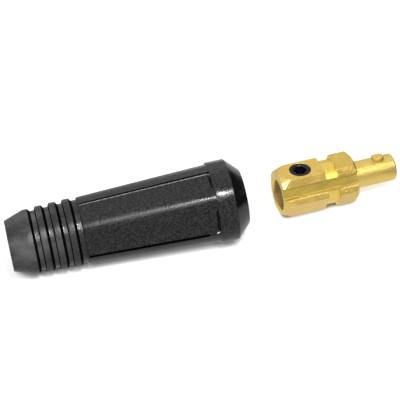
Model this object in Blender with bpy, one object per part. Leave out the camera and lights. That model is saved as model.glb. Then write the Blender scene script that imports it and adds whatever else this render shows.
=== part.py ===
"""Welding cable plug of the 9 mm pin size, taken apart: rubber sleeve, brass contact, set screw.

World frame: metres, +Z up, standing surface at z = 0. The contact lies along +X with its pin
at the +X end, and the origin is on its lower flat. The sleeve lies behind it, tail at -X.
"""
import math

import bmesh
import bpy
from mathutils import Matrix, Vector

MM = 0.001

# Hex bar of the contact
HEX_FLATS = 15.0 * MM
CABLE_FACE_INSET = 0.1 * MM
CABLE_CHAMFER_LENGTH = 3.4 * MM
PIN_FACE_INSET = 0.25 * MM
PIN_CHAMFER_LENGTH = 1.2 * MM
BARREL_LENGTH = 14.85 * MM
GROOVE_WIDTH = 4.15 * MM
GROOVE_DEPTH = 0.2 * MM
FLANGE_LENGTH = 6.85 * MM
KEYWAY_ANGLE = 150.0
KEYWAY_WIDTH = 3.4 * MM
KEYWAY_DEPTH = 1.6 * MM
KEYWAY_BEVEL = 0.6 * MM

# Cable bore, blind, and eccentric so that the clamping thread is longer
BORE_RADIUS = 5.1 * MM
BORE_DEPTH = 17.0 * MM
BORE_DROP = 0.9 * MM
BORE_MOUTH_CHAMFER = 0.5 * MM
DRILL_POINT_HALF_ANGLE = 59.0

# Pin and its bayonet lug
PIN_RADIUS = 4.5 * MM
PIN_LENGTH = 14.35 * MM
PIN_TIP_RADIUS = 0.6 * MM
LUG_START = 7.3 * MM
LUG_LENGTH = 3.7 * MM
LUG_WIDTH = 3.1 * MM
LUG_HEIGHT = 1.2 * MM
LUG_ANGLE = 91.0
LUG_EDGE = 0.3 * MM

# Set screw in the upper flat
SCREW_STATION = 7.8 * MM
SCREW_RADIUS = 3.35 * MM
SCREW_LENGTH = 8.0 * MM
SCREW_RECESS = 0.05 * MM
SCREW_EDGE = 0.3 * MM
SCREW_POINT_CHAMFER = 1.0 * MM
SOCKET_FLATS = 4.0 * MM
SOCKET_DEPTH = 4.0 * MM
SOCKET_CHAMFER = 0.3 * MM
SOCKET_TURN = 15.0
THREAD_CLEARANCE = 0.15 * MM

# Sleeve outside: tail, grip rings, body, collar, front chamfer
TAIL_RADIUS = 8.2 * MM
TAIL_LENGTH = 6.35 * MM
SHOULDER_LENGTH = 1.65 * MM
SHOULDER_RADIUS = 10.45 * MM
SHOULDER_EDGE = 1.5 * MM
RING_COUNT = 3
RING_PITCH = 4.46 * MM
RING_GAP = 2.3 * MM
RING_GAP_DEPTH = 1.0 * MM
RING_TAIL_DRAFT = 0.6 * MM
RING_FRONT_DRAFT = 0.3 * MM
FIRST_RING_RADIUS = 10.72 * MM
LAST_RING_RADIUS = 11.00 * MM
RING_EDGE = 0.4 * MM
BODY_LENGTH = 42.5 * MM
BODY_EDGE = 0.25 * MM
BAND_START_RADIUS = 10.82 * MM
BAND_END_RADIUS = 12.60 * MM
COLLAR_START_RADIUS = 13.20 * MM
COLLAR_END_RADIUS = 13.24 * MM
COLLAR_LENGTH = 6.0 * MM
COLLAR_EDGE = 0.5 * MM
FRONT_CHAMFER_LENGTH = 4.3 * MM
RIM_RADIUS = 8.95 * MM
RIM_EDGE = 0.3 * MM

# Two grip pads on the body, each a rounded ridge between a narrow and a wide flat
PAD_COUNT = 2
RIDGE_ANGLE = 137.0
NARROW_SIDE = 43.5
WIDE_SIDE = 56.0
PAD_RISE = 0.40 * MM
PAD_RUN_OUT = 1.0 * MM
PAD_END_RISE = 0.1 * MM
CREASE_WIDTH = 0.8 * MM
CREASE_DEPTH = 0.4 * MM
RIDGE_RISE = 0.50 * MM
RIDGE_FILLET = 5.5 * MM
PAD_EDGE = 0.25 * MM
PAD_GROOVE_WIDTH = 0.6 * MM
PAD_GROOVE_DEPTH = 0.35 * MM

# Sleeve inside: seat for the contact, key, locking rib and cable bore
SEAT_CLEARANCE = 0.15 * MM
SEAT_RECESS = 0.8 * MM
KEY_CLEARANCE = 0.2 * MM
RIB_CLEARANCE = 0.15 * MM
MOUTH_CLEARANCE = 0.4 * MM
MOUTH_LENGTH = 1.2 * MM
SEAT_SHOULDER = 1.5 * MM
CABLE_HOLE_CHAMFER = 0.5 * MM

# How the loose sleeve lies beside the contact
REST_STATION = 8.8 * MM
SLEEVE_GAP = 13.5 * MM
SLEEVE_OFFSET = -5.2 * MM
SLEEVE_YAW = -4.9

# Facets round each piece
SLEEVE_FACETS = 72
CONTACT_FACETS = 60
SCREW_FACETS = 36
RIDGE_FACETS = 10
FLAT_FACETS = 6
LUG_FACETS = 8
BAND_FACETS = 13
OVERSHOOT = 1.0 * MM
SHARP_ANGLE = 30.0

HEX_RADIUS = HEX_FLATS / 2 / math.cos(math.radians(30))
CABLE_FACE_RADIUS = HEX_FLATS / 2 - CABLE_FACE_INSET
PIN_FACE_RADIUS = HEX_FLATS / 2 - PIN_FACE_INSET
GROOVE_RADIUS = HEX_FLATS / 2 - GROOVE_DEPTH
MOUTH_RADIUS = HEX_FLATS / 2 + MOUTH_CLEARANCE
GROOVE_END = BARREL_LENGTH + GROOVE_WIDTH
HEX_LENGTH = GROOVE_END + FLANGE_LENGTH
CABLE_HOLE_RADIUS = HEX_FLATS / 2 - SEAT_SHOULDER
FIRST_GROOVE = TAIL_LENGTH + SHOULDER_LENGTH + RING_GAP / 2
BODY_START = FIRST_GROOVE + RING_COUNT * RING_PITCH + RING_GAP / 2
BODY_END = BODY_START + BODY_LENGTH
COLLAR_END = BODY_END + COLLAR_LENGTH
SLEEVE_LENGTH = COLLAR_END + FRONT_CHAMFER_LENGTH


def clear_scene():
    """Remove what the start-up file holds."""
    for item in list(bpy.data.objects):
        bpy.data.objects.remove(item, do_unlink=True)


def material(name, colour, roughness, metallic):
    """One Principled material."""
    made = bpy.data.materials.new(name)
    made.use_nodes = True
    shader = made.node_tree.nodes["Principled BSDF"]
    shader.inputs["Base Color"].default_value = (*colour, 1.0)
    shader.inputs["Roughness"].default_value = roughness
    shader.inputs["Metallic"].default_value = metallic
    return made


def add_object(name, bm):
    """Turn a bmesh into an object with outward normals, smooth across its gentle edges."""
    bmesh.ops.recalc_face_normals(bm, faces=bm.faces)
    mesh = bpy.data.meshes.new(name)
    bm.to_mesh(mesh)
    bm.free()
    mesh.shade_smooth()
    mesh.set_sharp_from_angle(angle=math.radians(SHARP_ANGLE))
    made = bpy.data.objects.new(name, mesh)
    bpy.context.collection.objects.link(made)
    return made


def rounded(points, radii, steps=3):
    """Replace corners of an open outline by arcs; radii maps a point's number to its radius."""
    result = []
    for number, point in enumerate(points):
        radius = radii.get(number)
        if not radius:
            result.append(Vector(point))
            continue
        corner = Vector(point)
        before = (Vector(points[number - 1]) - corner).normalized()
        after = (Vector(points[number + 1]) - corner).normalized()
        half = before.angle(after) / 2
        centre = corner + (before + after).normalized() * radius / math.sin(half)
        start = corner + before * radius / math.tan(half) - centre
        end = corner + after * radius / math.tan(half) - centre
        for step in range(steps + 1):
            spoke = start.lerp(end, step / steps).normalized() * radius
            result.append(centre + spoke)
    return result


def turned(name, profile, facets):
    """Solid of revolution about X from (station, radius) points that start and end on the axis."""
    bm = bmesh.new()
    verts = [bm.verts.new((station, 0.0, radius)) for station, radius in profile]
    edges = [bm.edges.new(pair) for pair in zip(verts, verts[1:])]
    bmesh.ops.spin(bm, geom=verts + edges, cent=(0, 0, 0), axis=(1, 0, 0), dvec=(0, 0, 0),
                   angle=2 * math.pi, steps=facets, use_duplicate=False)
    bmesh.ops.remove_doubles(bm, verts=bm.verts, dist=0.001 * MM)
    return add_object(name, bm)


def lofted(name, sections):
    """Closed solid through sections of equal point counts, each a list of 3-D points."""
    bm = bmesh.new()
    loops = []
    for section in sections:
        verts = [bm.verts.new(point) for point in section]
        loops.append([bm.edges.new((verts[i - 1], verts[i])) for i in range(len(verts))])
    for low, high in zip(loops, loops[1:]):
        bmesh.ops.bridge_loops(bm, edges=low + high)
    bmesh.ops.holes_fill(bm, edges=[edge for edge in bm.edges if edge.is_boundary])
    return add_object(name, bm)


def across(outline, station):
    """Put a (y, z) outline into the plane at a station of the X axis."""
    return [(station, y, z) for y, z in outline]


def combine(target, operation, tool):
    """Boolean modifier with a hidden tool object."""
    modifier = target.modifiers.new(operation.lower() + "_" + tool.name, "BOOLEAN")
    modifier.operation = operation
    modifier.solver = "EXACT"
    modifier.object = tool
    tool.parent = target
    tool.display_type = "WIRE"
    tool.hide_render = True


def polar(radius, degrees):
    """(y, z) of a point at an angle counted from +Y towards +Z."""
    return (radius * math.cos(math.radians(degrees)), radius * math.sin(math.radians(degrees)))


def hex_outline(flats, notch_width, notch_depth, notch_bevel):
    """Hexagon with flats above and below and one notch in its keyway facet."""
    corner = flats / 2 / math.cos(math.radians(30))
    outline = []
    for side in range(6):
        outline.append(polar(corner, 60 * side))
        if abs(60 * side + 30 - KEYWAY_ANGLE) < 1:
            outward = Vector(polar(1.0, KEYWAY_ANGLE))
            along = Vector(polar(1.0, KEYWAY_ANGLE + 90))
            steps = ((-1, notch_width / 2, 0.0), (-1, notch_width / 2, notch_depth),
                     (1, notch_width / 2, notch_depth), (1, notch_width / 2, notch_bevel),
                     (1, notch_width / 2 + notch_bevel, 0.0))
            for sign, half, depth in steps:
                point = outward * (flats / 2 - depth) + along * sign * half
                outline.append((point.x, point.y))
    return outline


def make_contact(brass):
    """Hex bar with keyway, turned groove and ends, cable bore, thread hole, pin and lug."""
    outline = hex_outline(HEX_FLATS, KEYWAY_WIDTH, KEYWAY_DEPTH, KEYWAY_BEVEL)
    contact = lofted("brass_contact", [across(outline, -OVERSHOOT),
                                       across(outline, HEX_LENGTH + OVERSHOOT)])
    beyond = HEX_RADIUS + OVERSHOOT
    cable_slope = (HEX_RADIUS - CABLE_FACE_RADIUS) / CABLE_CHAMFER_LENGTH
    pin_slope = (HEX_RADIUS - PIN_FACE_RADIUS) / PIN_CHAMFER_LENGTH
    envelope = [(0, 0), (0, CABLE_FACE_RADIUS),
                ((beyond - CABLE_FACE_RADIUS) / cable_slope, beyond),
                (BARREL_LENGTH, beyond), (BARREL_LENGTH, GROOVE_RADIUS),
                (GROOVE_END, GROOVE_RADIUS), (GROOVE_END, beyond),
                (HEX_LENGTH - (beyond - PIN_FACE_RADIUS) / pin_slope, beyond),
                (HEX_LENGTH, PIN_FACE_RADIUS), (HEX_LENGTH, 0)]
    combine(contact, "INTERSECT", turned("turned_envelope", envelope, CONTACT_FACETS))

    tip = HEX_LENGTH + PIN_LENGTH
    pin = [(HEX_LENGTH - OVERSHOOT, 0), (HEX_LENGTH - OVERSHOOT, PIN_RADIUS),
           (tip, PIN_RADIUS), (tip, 0)]
    pin = rounded(pin, {2: PIN_TIP_RADIUS}, 4)
    combine(contact, "UNION", turned("pin", pin, CONTACT_FACETS))
    combine(contact, "UNION", make_lug())

    point_length = BORE_RADIUS / math.tan(math.radians(DRILL_POINT_HALF_ANGLE))
    bore = [(-OVERSHOOT, 0), (-OVERSHOOT, BORE_RADIUS + BORE_MOUTH_CHAMFER + OVERSHOOT),
            (BORE_MOUTH_CHAMFER, BORE_RADIUS), (BORE_DEPTH, BORE_RADIUS),
            (BORE_DEPTH + point_length, 0)]
    bore = turned("cable_bore", bore, CONTACT_FACETS)
    bore.location.z = -BORE_DROP
    combine(contact, "DIFFERENCE", bore)

    hole_radius = SCREW_RADIUS + THREAD_CLEARANCE
    hole = [(-BORE_DROP, 0), (-BORE_DROP, hole_radius),
            (HEX_FLATS / 2 + OVERSHOOT, hole_radius), (HEX_FLATS / 2 + OVERSHOOT, 0)]
    hole = turned("thread_hole", hole, SCREW_FACETS)
    hole.rotation_euler.y = -math.pi / 2
    hole.location.x = SCREW_STATION
    combine(contact, "DIFFERENCE", hole)

    contact.data.materials.append(brass)
    contact.location = (-REST_STATION, 0, HEX_FLATS / 2)
    return contact


def make_lug():
    """Bayonet lug: square at the hex side, round towards the tip."""
    half = LUG_WIDTH / 2
    straight = LUG_LENGTH - half
    sections = []
    top = PIN_RADIUS + LUG_HEIGHT
    for height, inset in ((PIN_RADIUS / 2, 0), (top - LUG_EDGE, 0), (top, LUG_EDGE)):
        reach = half - inset
        section = [(inset, reach, height), (inset, -reach, height)]
        for step in range(LUG_FACETS + 1):
            y, x = polar(reach, 180 - 180 * step / LUG_FACETS)
            section.append((straight + x, y, height))
        sections.append(section)
    lug = lofted("lug", sections)
    lug.location.x = HEX_LENGTH + LUG_START
    lug.rotation_euler.x = math.radians(LUG_ANGLE - 90)
    return lug


def make_set_screw(steel):
    """Headless screw with a hexagon socket, origin on its axis at the contact's upper flat."""
    top = -SCREW_RECESS
    end = top - SCREW_LENGTH
    profile = [(end, 0), (end, SCREW_RADIUS - SCREW_POINT_CHAMFER),
               (end + SCREW_POINT_CHAMFER, SCREW_RADIUS), (top, SCREW_RADIUS), (top, 0)]
    profile = rounded(profile, {3: SCREW_EDGE}, 3)
    screw = turned("set_screw", profile, SCREW_FACETS)
    screw.data.transform(Matrix.Rotation(-math.pi / 2, 4, "Y"))

    corner = SOCKET_FLATS / 2 / math.cos(math.radians(30))
    mouth = corner + SOCKET_CHAMFER + OVERSHOOT
    sections = []
    for height, radius in ((top - SOCKET_DEPTH, corner), (top - SOCKET_CHAMFER, corner),
                           (top + OVERSHOOT, mouth)):
        sections.append([(*polar(radius, 60 * side + SOCKET_TURN), height) for side in range(6)])
    combine(screw, "DIFFERENCE", lofted("socket", sections))
    screw.data.materials.append(steel)
    screw.location = (SCREW_STATION - REST_STATION, 0, HEX_FLATS)
    return screw


def ring_radius(ring):
    """Radius of a grip ring, which grows towards the body; the shoulder counts as ring -1."""
    if ring < 0:
        return SHOULDER_RADIUS
    if ring >= RING_COUNT:
        return BAND_START_RADIUS + PAD_RISE
    return FIRST_RING_RADIUS + ring / (RING_COUNT - 1) * (LAST_RING_RADIUS - FIRST_RING_RADIUS)


def sleeve_profile():
    """Outer outline of the sleeve as turned, with the body left at the last groove's radius."""
    points = [(0, 0), (0, TAIL_RADIUS), (TAIL_LENGTH, SHOULDER_RADIUS)]
    radii = {2: SHOULDER_EDGE}
    for ring in range(RING_COUNT + 1):
        middle = FIRST_GROOVE + ring * RING_PITCH
        before = ring_radius(ring - 1)
        after = ring_radius(ring)
        floor = (before + after) / 2 - RING_GAP_DEPTH
        radii[len(points)] = RING_EDGE
        points.append((middle - RING_GAP / 2, before))
        points.append((middle - RING_GAP / 2 + RING_TAIL_DRAFT, floor))
        if ring < RING_COUNT:
            points.append((middle + RING_GAP / 2 - RING_FRONT_DRAFT, floor))
            radii[len(points)] = RING_EDGE
            points.append((middle + RING_GAP / 2, after))
    points.append((BODY_END, floor))
    points.append((BODY_END, COLLAR_START_RADIUS))
    radii[len(points)] = COLLAR_EDGE
    points.append((COLLAR_END, COLLAR_END_RADIUS))
    radii[len(points)] = RIM_EDGE
    points.append((SLEEVE_LENGTH, RIM_RADIUS))
    points.append((SLEEVE_LENGTH, 0))
    return rounded(points, radii, 2)


def flat_turn(edge, ridge, side):
    """Angle from the ridge to the normal of the flat that joins its round top to a pad edge."""
    out = edge * math.cos(math.radians(side)) - (ridge - RIDGE_FILLET)
    across_flat = edge * math.sin(math.radians(side))
    reach = math.acos(RIDGE_FILLET / math.hypot(out, across_flat))
    return math.degrees(math.atan2(across_flat, out) - reach)


def dipped_flat(start, end, normal, dip):
    """Points between the two ends of a flat, pressed in by the dip at mid-width."""
    points = []
    for number in range(1, FLAT_FACETS):
        share = number / FLAT_FACETS
        point = start.lerp(end, share) - normal * dip * 4 * share * (1 - share)
        points.append(tuple(point))
    return points


def body_section(station, rise, dip=0.0, inset=0.0):
    """Outline of the body at a station: pads of ridge and flats, and bands grooved beside them."""
    share = (station - BODY_START) / BODY_LENGTH
    band = BAND_START_RADIUS + share * (BAND_END_RADIUS - BAND_START_RADIUS) - inset
    edge = band + rise
    ridge = band + RIDGE_RISE
    narrow = flat_turn(edge, ridge, NARROW_SIDE)
    wide = flat_turn(edge, ridge, WIDE_SIDE)
    step = math.degrees(PAD_EDGE / band)
    groove = math.degrees(PAD_GROOVE_WIDTH / band)
    outline = []
    for pad in range(PAD_COUNT):
        middle = RIDGE_ANGLE + pad * 360 / PAD_COUNT
        pad_start = middle - NARROW_SIDE
        pad_end = middle + WIDE_SIDE
        centre = Vector(polar(ridge - RIDGE_FILLET, middle))
        top = []
        for turn in range(RIDGE_FACETS + 1):
            spoke = polar(RIDGE_FILLET, middle - narrow + (narrow + wide) * turn / RIDGE_FACETS)
            top.append(centre + Vector(spoke))
        first_edge = Vector(polar(edge, pad_start + step))
        last_edge = Vector(polar(edge, pad_end - step))
        outline.append(polar(edge - rise / 2, pad_start - step / 3))
        outline.append(tuple(first_edge))
        outline += dipped_flat(first_edge, top[0], Vector(polar(1.0, middle - narrow)), dip)
        outline += [tuple(point) for point in top]
        outline += dipped_flat(top[-1], last_edge, Vector(polar(1.0, middle + wide)), dip)
        outline.append(tuple(last_edge))
        outline.append(polar(edge - rise / 2, pad_end + step / 3))
        next_start = pad_start + 360 / PAD_COUNT
        first = pad_end + step + groove
        last = next_start - step - groove
        outline.append(polar(band - PAD_GROOVE_DEPTH, pad_end + step))
        outline.append(polar(band - PAD_GROOVE_DEPTH, first - groove / 2))
        for turn in range(BAND_FACETS + 1):
            outline.append(polar(band, first + (last - first) * turn / BAND_FACETS))
        outline.append(polar(band - PAD_GROOVE_DEPTH, last + groove / 2))
        outline.append(polar(band - PAD_GROOVE_DEPTH, next_start - step))
    return across(outline, station)


def make_body():
    """Padded body, whose flats dip into a crease where they meet the collar."""
    inside_collar = BODY_END + COLLAR_LENGTH / 4
    return lofted("padded_body", [
        body_section(BODY_START, PAD_RISE, inset=BODY_EDGE),
        body_section(BODY_START + BODY_EDGE, PAD_RISE),
        body_section(BODY_END - PAD_RUN_OUT, PAD_RISE),
        body_section(BODY_END - CREASE_WIDTH, PAD_END_RISE),
        body_section(BODY_END, PAD_END_RISE, CREASE_DEPTH),
        body_section(inside_collar, PAD_END_RISE, CREASE_DEPTH)])


def make_sleeve(rubber):
    """Moulded sleeve: turned outside, padded body, seat for the contact and hole for the cable."""
    sleeve = turned("rubber_sleeve", sleeve_profile(), SLEEVE_FACETS)
    combine(sleeve, "UNION", make_body())

    seat_front = SLEEVE_LENGTH - MOUTH_LENGTH
    seat_back = SLEEVE_LENGTH - SEAT_RECESS - HEX_LENGTH - SEAT_CLEARANCE
    hole = [(-OVERSHOOT, 0), (-OVERSHOOT, CABLE_HOLE_RADIUS + CABLE_HOLE_CHAMFER + OVERSHOOT),
            (CABLE_HOLE_CHAMFER, CABLE_HOLE_RADIUS), (seat_back + OVERSHOOT, CABLE_HOLE_RADIUS),
            (seat_back + OVERSHOOT, 0)]
    combine(sleeve, "DIFFERENCE", turned("cable_hole", hole, SLEEVE_FACETS // 2))

    rib_back = seat_back + SEAT_CLEARANCE + BARREL_LENGTH + RIB_CLEARANCE
    rib_front = rib_back + GROOVE_WIDTH - 2 * RIB_CLEARANCE
    outline = hex_outline(HEX_FLATS + 2 * SEAT_CLEARANCE, KEYWAY_WIDTH - 2 * KEY_CLEARANCE,
                          KEYWAY_DEPTH - KEY_CLEARANCE, KEYWAY_BEVEL)
    for name, start, end in (("seat_back", seat_back, rib_back), ("seat_front", rib_front, seat_front)):
        combine(sleeve, "DIFFERENCE", lofted(name, [across(outline, start), across(outline, end)]))
    for name, start, end, radius in (("rib_hole", rib_back, rib_front, GROOVE_RADIUS + RIB_CLEARANCE),
                                     ("mouth", seat_front, SLEEVE_LENGTH, MOUTH_RADIUS)):
        profile = [(start - OVERSHOOT / 2, 0), (start - OVERSHOOT / 2, radius),
                   (end + OVERSHOOT / 2, radius), (end + OVERSHOOT / 2, 0)]
        combine(sleeve, "DIFFERENCE", turned(name, profile, SLEEVE_FACETS // 2))

    sleeve.data.materials.append(rubber)
    lie_down(sleeve)
    return sleeve


def lie_down(sleeve):
    """Rest the tapered sleeve on its first grip ring and its collar."""
    ring = FIRST_GROOVE + RING_GAP / 2 + RING_EDGE / 2
    pitch = math.atan2(COLLAR_START_RADIUS - FIRST_RING_RADIUS, BODY_END - ring)
    height = FIRST_RING_RADIUS * math.cos(pitch) - ring * math.sin(pitch)
    yaw = math.radians(SLEEVE_YAW)
    reach = SLEEVE_LENGTH * math.cos(pitch)
    front = Vector((-REST_STATION - SLEEVE_GAP, SLEEVE_OFFSET, height))
    sleeve.rotation_euler = (0, -pitch, yaw)
    sleeve.location = front - reach * Vector((math.cos(yaw), math.sin(yaw), 0))


def main():
    clear_scene()
    rubber = material("black_rubber", (0.028, 0.028, 0.030), 0.55, 0.0)
    brass = material("bare_brass", (0.80, 0.58, 0.22), 0.28, 1.0)
    steel = material("black_oxide_steel", (0.02, 0.02, 0.022), 0.35, 1.0)
    make_sleeve(rubber)
    make_contact(brass)
    make_set_screw(steel)


main()
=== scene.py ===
"""Looks of a welding cable plug taken apart: rubber sleeve, brass contact and set screw.

The three pieces are made again, finer than the CAD solids, from the same sizes in metres.
"""

import math

import bmesh
import bpy
from mathutils import Matrix, Vector


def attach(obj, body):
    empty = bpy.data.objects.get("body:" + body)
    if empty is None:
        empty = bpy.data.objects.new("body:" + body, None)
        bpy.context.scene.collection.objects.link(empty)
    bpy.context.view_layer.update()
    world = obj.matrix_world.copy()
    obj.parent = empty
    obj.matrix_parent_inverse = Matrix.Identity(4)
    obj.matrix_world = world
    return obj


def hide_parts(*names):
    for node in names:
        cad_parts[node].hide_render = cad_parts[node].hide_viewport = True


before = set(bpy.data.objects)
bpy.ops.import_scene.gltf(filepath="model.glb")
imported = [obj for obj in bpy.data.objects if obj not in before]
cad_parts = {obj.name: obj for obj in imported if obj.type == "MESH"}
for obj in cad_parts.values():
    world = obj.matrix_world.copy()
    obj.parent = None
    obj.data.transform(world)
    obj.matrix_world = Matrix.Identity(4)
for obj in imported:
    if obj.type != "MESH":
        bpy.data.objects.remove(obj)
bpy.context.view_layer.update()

MM = 0.001

# Contact: hex bar, keyway, turned groove, cable bore
HEX_FLATS = 15.0 * MM
HEX_EDGE = 0.12 * MM
CABLE_FACE_INSET = 0.1 * MM
CABLE_CHAMFER_LENGTH = 3.4 * MM
PIN_FACE_INSET = 0.25 * MM
PIN_CHAMFER_LENGTH = 1.2 * MM
BARREL_LENGTH = 14.85 * MM
GROOVE_WIDTH = 4.15 * MM
GROOVE_DEPTH = 0.2 * MM
FLANGE_LENGTH = 6.85 * MM
TURNED_EDGE = 0.08 * MM
KEYWAY_ANGLE = 150.0
KEYWAY_WIDTH = 3.4 * MM
KEYWAY_DEPTH = 1.6 * MM
KEYWAY_BEVEL = 0.6 * MM
BORE_RADIUS = 5.1 * MM
BORE_DEPTH = 17.0 * MM
BORE_DROP = 0.9 * MM
BORE_MOUTH_CHAMFER = 0.5 * MM
DRILL_POINT_HALF_ANGLE = 59.0

# Pin and bayonet lug
PIN_RADIUS = 4.5 * MM
PIN_LENGTH = 14.35 * MM
PIN_TIP_RADIUS = 0.6 * MM
LUG_START = 7.3 * MM
LUG_LENGTH = 3.7 * MM
LUG_WIDTH = 3.1 * MM
LUG_HEIGHT = 1.2 * MM
LUG_ANGLE = 91.0
LUG_EDGE = 0.3 * MM

# Set screw and its thread
SCREW_STATION = 7.8 * MM
SCREW_RADIUS = 3.35 * MM
SCREW_LENGTH = 8.0 * MM
SCREW_RECESS = 0.05 * MM
SCREW_EDGE = 0.3 * MM
SCREW_POINT_CHAMFER = 1.0 * MM
SCREW_PLAIN = 0.7 * MM
SCREW_TURNS = 9
SOCKET_FLATS = 4.0 * MM
SOCKET_DEPTH = 4.0 * MM
SOCKET_CHAMFER = 0.3 * MM
SOCKET_TURN = 15.0
HOLE_RADIUS = 3.5 * MM
HOLE_PLAIN = 2.2 * MM
HOLE_CHAMFER = 0.12 * MM
HOLE_TURNS = 5
THREAD_PITCH = 1.25 * MM
THREAD_DEPTH = 0.4 * MM

# Sleeve outside
TAIL_RADIUS = 8.2 * MM
TAIL_LENGTH = 6.35 * MM
TAIL_EDGE = 0.25 * MM
SHOULDER_LENGTH = 1.65 * MM
SHOULDER_RADIUS = 10.45 * MM
SHOULDER_EDGE = 1.5 * MM
RING_COUNT = 3
RING_PITCH = 4.46 * MM
RING_GAP = 2.3 * MM
RING_GAP_DEPTH = 1.0 * MM
RING_TAIL_DRAFT = 0.6 * MM
RING_FRONT_DRAFT = 0.3 * MM
FIRST_RING_RADIUS = 10.72 * MM
LAST_RING_RADIUS = 11.00 * MM
RING_EDGE = 0.4 * MM
RING_CROWN = 0.62 * MM
ROOT_EDGE = 0.15 * MM
BODY_LENGTH = 42.5 * MM
BODY_EDGE = 0.25 * MM
BAND_START_RADIUS = 10.82 * MM
BAND_END_RADIUS = 12.60 * MM
COLLAR_START_RADIUS = 13.20 * MM
COLLAR_END_RADIUS = 13.24 * MM
COLLAR_LENGTH = 6.0 * MM
COLLAR_EDGE = 0.5 * MM
FRONT_CHAMFER_LENGTH = 4.3 * MM
RIM_RADIUS = 8.95 * MM
RIM_EDGE = 0.3 * MM

# Grip pads on the sleeve's body
PAD_COUNT = 2
RIDGE_ANGLE = 137.0
NARROW_SIDE = 43.5
WIDE_SIDE = 56.0
PAD_RISE = 0.40 * MM
PAD_END_RISE = 0.1 * MM
PAD_RUN_OUT = 1.0 * MM
PAD_STEP = 1.2
CREASE_WIDTH = 0.8 * MM
CREASE_DEPTH = 0.4 * MM
RIDGE_RISE = 0.50 * MM
RIDGE_FILLET = 5.5 * MM
PAD_GROOVE_WIDTH = 0.6 * MM
PAD_GROOVE_DEPTH = 0.35 * MM
PAD_GROOVE_SPAN = 4.4

# Sleeve inside
SEAT_CLEARANCE = 0.15 * MM
SEAT_RECESS = 0.8 * MM
KEY_CLEARANCE = 0.2 * MM
RIB_CLEARANCE = 0.15 * MM
MOUTH_CLEARANCE = 0.4 * MM
MOUTH_LENGTH = 1.2 * MM
SEAT_SHOULDER = 1.5 * MM
CABLE_HOLE_CHAMFER = 0.5 * MM

# Places of the pieces
REST_STATION = 8.8 * MM
SLEEVE_GAP = 13.5 * MM
SLEEVE_OFFSET = -5.2 * MM
SLEEVE_YAW = -4.9

# Fineness of the meshes, and lengths that only help to make them
ENVELOPE_FACETS = 192
PIN_FACETS = 160
SMALL_FACETS = 96
COUNTERSINK_FACETS = 64
THREAD_STEPS = 48
NOSE_STEPS = 24
BODY_STEPS = 15
BODY_EDGE_STEPS = 3
RUN_OUT_REACH = 1.5 * PAD_RUN_OUT
OVERSHOOT = 1.0 * MM
WELD = 0.001 * MM
SLIVER = 0.02 * MM

# Edges that stay sharp, by the angle between their faces
SLEEVE_SHARP = 35
CONTACT_SHARP = 12
SCREW_SHARP = 25

# Finishes of the sleeve and of the contact, in the order of their slots
# PAINTED_SHADE is painted shade; WORN_HIGHLIGHT, LIT_GROOVE and GLINT_SPOT paint highlights
MOULDED, PAINTED_SHADE, WORN_HIGHLIGHT, LIT_GROOVE, GLINT_SPOT = range(5)
# GLINT_CORNER is a painted highlight on the brass
TURNED, DRAWN, MILLED, FILED, BORED, GROOVE, FLANGE, GLINT_CORNER = range(8)

# Gaps between the grip rings: shares of a gap, and the angles at which their floors shine
TAIL_WALL_START = -0.08
FLOOR_START = 0.44
FLOOR_END = 0.86
FRONT_WALL_END = 1.04
GLINT_ANGLE = 132.0
GLINT_SPAN = 22.0

# Painted shade: a dark line along each side of a pad, in groove widths and degrees, and where it
# stops
DARK_WIDTH = 1.5
DARK_OVERLAP = 2 * PAD_STEP
DARK_STOP = 4 * PAD_RUN_OUT

# Pale upper edge of a pad in degrees, wear and a painted highlight, and a painted glint at the near
# pad's lower corner
WORN_HIGHLIGHT_START = -2 * PAD_STEP
WORN_HIGHLIGHT_END = -PAD_STEP / 2
GLINT_SPOT_SPAN = 3.2
GLINT_SPOT_START = 0.4 * PAD_RUN_OUT
GLINT_SPOT_END = 1.3 * PAD_RUN_OUT

# Rubber: where hands have polished it, and the shares of grain, dust and specks that are left
POLISH_START = 0.6
POLISHED_GRAIN = 0.35
LEAST_DUST = 0.10
CHAMFER_SPECKS = 0.1

# Brass: how dark its pits are, and how much of that shows
PIT_SHADE = 0.7
PIT_SHARE = 0.45

# Pale corner patch of the contact in degrees, a painted highlight, and limits that tell its faces
# apart
CORNER_START = 118.0
CORNER_END = 140.0
LEANING = 0.1
TRUE_FLAT = 0.01
FLAT_DEPTH = 0.1 * MM
BEVEL_FACING = 0.998

# Camera
CAMERA_AZIMUTH = -14.94
CAMERA_ELEVATION = 37.66
CAMERA_ROLL = -3.81
CAMERA_TARGET = Vector((-0.034228, 0.004112, 0.008744))
CAMERA_DISTANCE = 0.5538
CAMERA_LENS = 153.0
CAMERA_SENSOR = 36.0
CAMERA_NEAR = 0.01

# Area lights: name, place, aim, width, depth and watts
LIGHTS = (("key_softbox", (0.11, -0.33, 0.49), (-0.03, 0, 0.01), 0.30, 0.06, 0.33),
          ("left_softbox", (-0.28, -0.33, 0.45), (-0.05, 0, 0.01), 0.46, 0.06, 0.75),
          ("lamp", (-0.025, -0.32, 0.52), (-0.03, 0, 0.01), 0.04, 0.05, 1.2))

# Level of the world on matt surfaces, and its fades in reflections by direction
SKY_ON_MATT = 0.65
SKY_FRONT_TO_BACK = (-0.9, 0.3, 0.62, 0.96)
SKY_TO_RIGHT = (0.5, 0.8, 1.0, 0.05)
SKY_FAR_BACK = (0.86, 0.97, 1.0, 0.5)

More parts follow.
